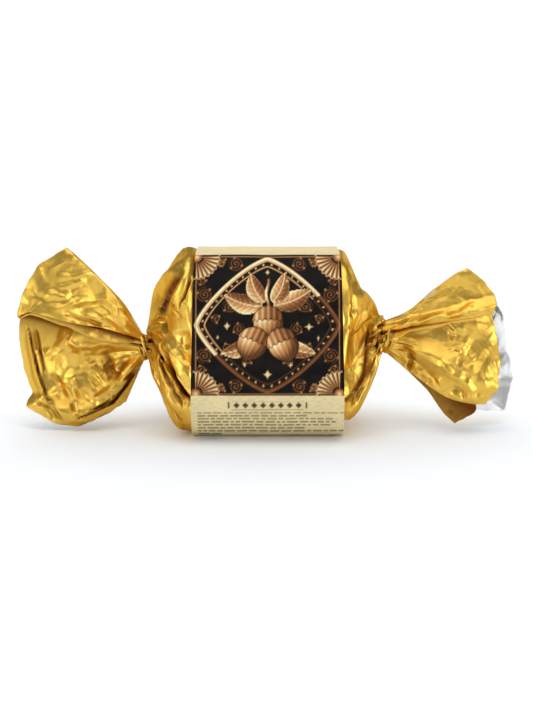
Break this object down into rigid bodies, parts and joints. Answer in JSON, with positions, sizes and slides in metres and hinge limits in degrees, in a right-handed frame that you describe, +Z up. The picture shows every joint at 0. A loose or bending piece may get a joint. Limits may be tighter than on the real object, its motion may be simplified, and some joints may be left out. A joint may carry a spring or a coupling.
{
  "type": "hazelnut praline twisted in gold foil with a paper band",
  "caption": "Chunky hazelnut praline twist-wrapped in crumpled gold foil, with fanned tails and a printed paper band.",
  "frame": {"origin": "on the surface the sweet rests on, at the middle of the flat underside of the paper band", "axes": "+X along the sweet from the closed tail to the open tail, +Y away from the printed front, +Z up"},
  "size_m": [0.123, 0.041, 0.045],
  "materials": {
    "gold_foil": "crumpled gold lacquered foil, silver on its inner side",
    "parchment_paper": "satin printed paper"
  },
  "bodies": {
    "root": {"foil_wrapper": "gold_foil", "paper_band": "parchment_paper"}
  },
  "joints": []
}
